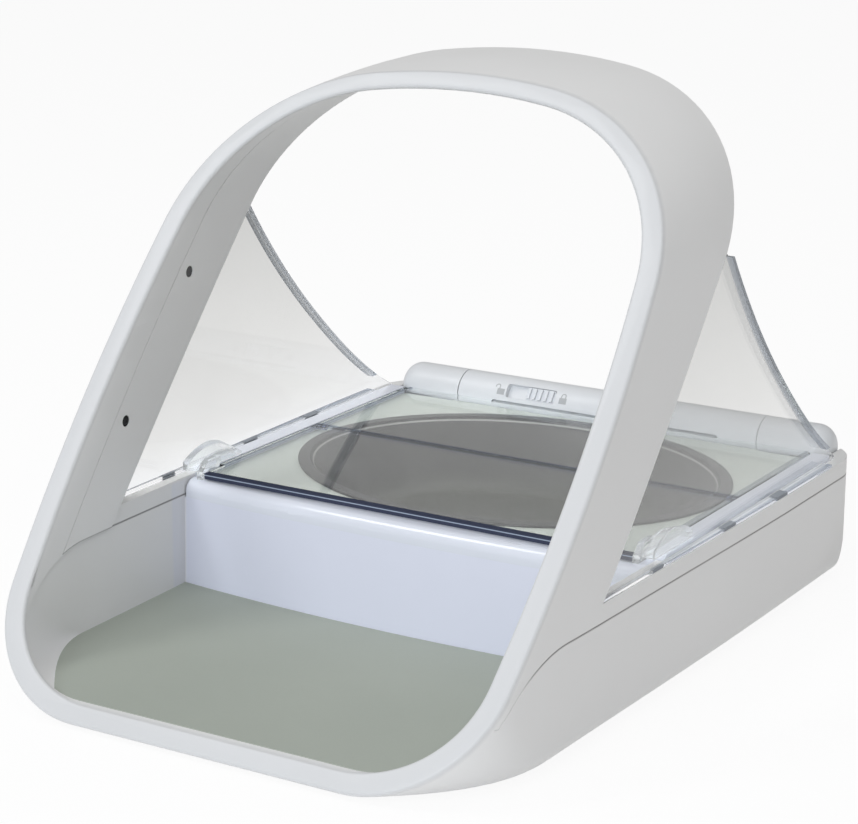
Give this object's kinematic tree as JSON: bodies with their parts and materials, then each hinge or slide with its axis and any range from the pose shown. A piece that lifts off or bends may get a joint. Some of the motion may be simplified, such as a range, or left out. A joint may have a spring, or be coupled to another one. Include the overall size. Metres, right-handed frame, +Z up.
{
  "type": "microchip pet feeder",
  "caption": "Battery pet feeder with a leaning reader hoop, open front tray, clear folding lid over a bowl, and clear side shields.",
  "frame": {"origin": "centre of the body on the floor, under the feet", "axes": "+X to the right seen from the front, -Y towards the pet, +Z up"},
  "size_m": [0.2248, 0.3162, 0.2198],
  "materials": {
    "casing_white": "satin",
    "ring_white": "satin",
    "frame_white": "satin",
    "clear": "clear gloss",
    "mat_sage": "matt",
    "deck_sage": "matt",
    "bowl_dark": "satin",
    "bar_white": "satin",
    "slider_grey": "satin",
    "dark_plastic": "gloss",
    "gear_plastic": "satin",
    "grey_plastic": "satin",
    "steel": "brushed",
    "brass": "plain",
    "copper_coil": "lacquered",
    "board_green": "satin",
    "button_green": "matt",
    "button_grey": "matt",
    "cell_jacket": "printed film, plain",
    "foot_rubber": "matt"
  },
  "bodies": {
    "feeder_base": {"lower_casing": "casing_white", "upper_casing": "casing_white", "hoop_front_ring": "ring_white", "hoop_liner": "casing_white", "reader_coil": "copper_coil", "ir_emitters": "dark_plastic", "ir_receivers": "dark_plastic", "floor_mat": "mat_sage", "rail_frame": "frame_white", "bowl_deck": "deck_sage", "bowl": "bowl_dark", "right_shield": "clear", "left_shield": "clear", "right_bar_end": "bar_white", "left_bar_end": "bar_white", "bar_bushes": "brass", "idler_axle": "steel", "gearbox": "grey_plastic", "motor": "steel", "circuit_board": "board_green", "battery_cells": "cell_jacket", "battery_contacts": "steel", "right_battery_door": "casing_white", "left_battery_door": "casing_white", "rubber_feet": "foot_rubber", "case_screws": "steel"},
    "lid_drive": {"drive_drum": "bar_white", "drive_shaft": "steel", "drum_gear": "gear_plastic", "lid_rear_panel": "clear", "lid_hinge_pins": "steel"},
    "lid_lock": {"lock_slider": "slider_grey"},
    "lid_front": {"lid_front_panel": "clear", "lid_slide_pins": "steel"},
    "shoe_right": {"right_lid_shoe": "clear"},
    "shoe_left": {"left_lid_shoe": "clear"},
    "idler": {"idler_gear": "gear_plastic"},
    "pinion": {"motor_pinion": "brass"},
    "learn_button": {"pet_button": "button_green"},
    "open_button": {"lid_button": "button_grey"},
    "delay_slide": {"delay_switch": "slider_grey"}
  },
  "joints": [
    {"name": "lid_drive_hinge", "type": "hinge", "parent": "feeder_base", "child": "lid_drive", "pos_m": [0, 0.1486, 0.0528], "axis": [-1, 0, 0], "range_deg": [0, 76]},
    {"name": "lid_fold_hinge", "type": "hinge", "parent": "lid_drive", "child": "lid_front", "pos_m": [0, 0.06465, 0.0516], "axis": [-1, 0, 0], "range_deg": [-152, 0]},
    {"name": "right_shoe_pivot", "type": "hinge", "parent": "lid_front", "child": "shoe_right", "pos_m": [0, -0.0193, 0.0528], "axis": [-1, 0, 0], "range_deg": [0, 76]},
    {"name": "left_shoe_pivot", "type": "hinge", "parent": "lid_front", "child": "shoe_left", "pos_m": [0, -0.0193, 0.0528], "axis": [-1, 0, 0], "range_deg": [0, 76]},
    {"name": "lid_lock_slide", "type": "slide", "parent": "lid_drive", "child": "lid_lock", "axis": [-1, 0, 0], "range_m": [0, 0.0085]},
    {"name": "idler_spin", "type": "hinge", "parent": "feeder_base", "child": "idler", "pos_m": [0, 0.1451, 0.04132], "axis": [-1, 0, 0], "range_deg": [-115, 1]},
    {"name": "pinion_spin", "type": "hinge", "parent": "feeder_base", "child": "pinion", "pos_m": [0, 0.14102, 0.02835], "axis": [-1, 0, 0], "range_deg": [-1, 210]},
    {"name": "learn_button_press", "type": "slide", "parent": "feeder_base", "child": "learn_button", "axis": [0, -1, 0], "range_m": [0, 0.0015], "stiffness_N_per_m": 400, "springref_m": -0.0008},
    {"name": "open_button_press", "type": "slide", "parent": "feeder_base", "child": "open_button", "axis": [0, -1, 0], "range_m": [0, 0.0015], "stiffness_N_per_m": 400, "springref_m": -0.0008},
    {"name": "delay_switch_slide", "type": "slide", "parent": "feeder_base", "child": "delay_slide", "axis": [1, 0, 0], "range_m": [-0.0045, 0.0045]}
  ],
  "couplings": [
    {"joint": "lid_fold_hinge", "follows": "lid_drive_hinge", "ratio": -2},
    {"joint": "right_shoe_pivot", "follows": "lid_drive_hinge", "ratio": 1},
    {"joint": "left_shoe_pivot", "follows": "lid_drive_hinge", "ratio": 1},
    {"joint": "idler_spin", "follows": "lid_drive_hinge", "ratio": -1.5},
    {"joint": "pinion_spin", "follows": "lid_drive_hinge", "ratio": 2.75}
  ]
}
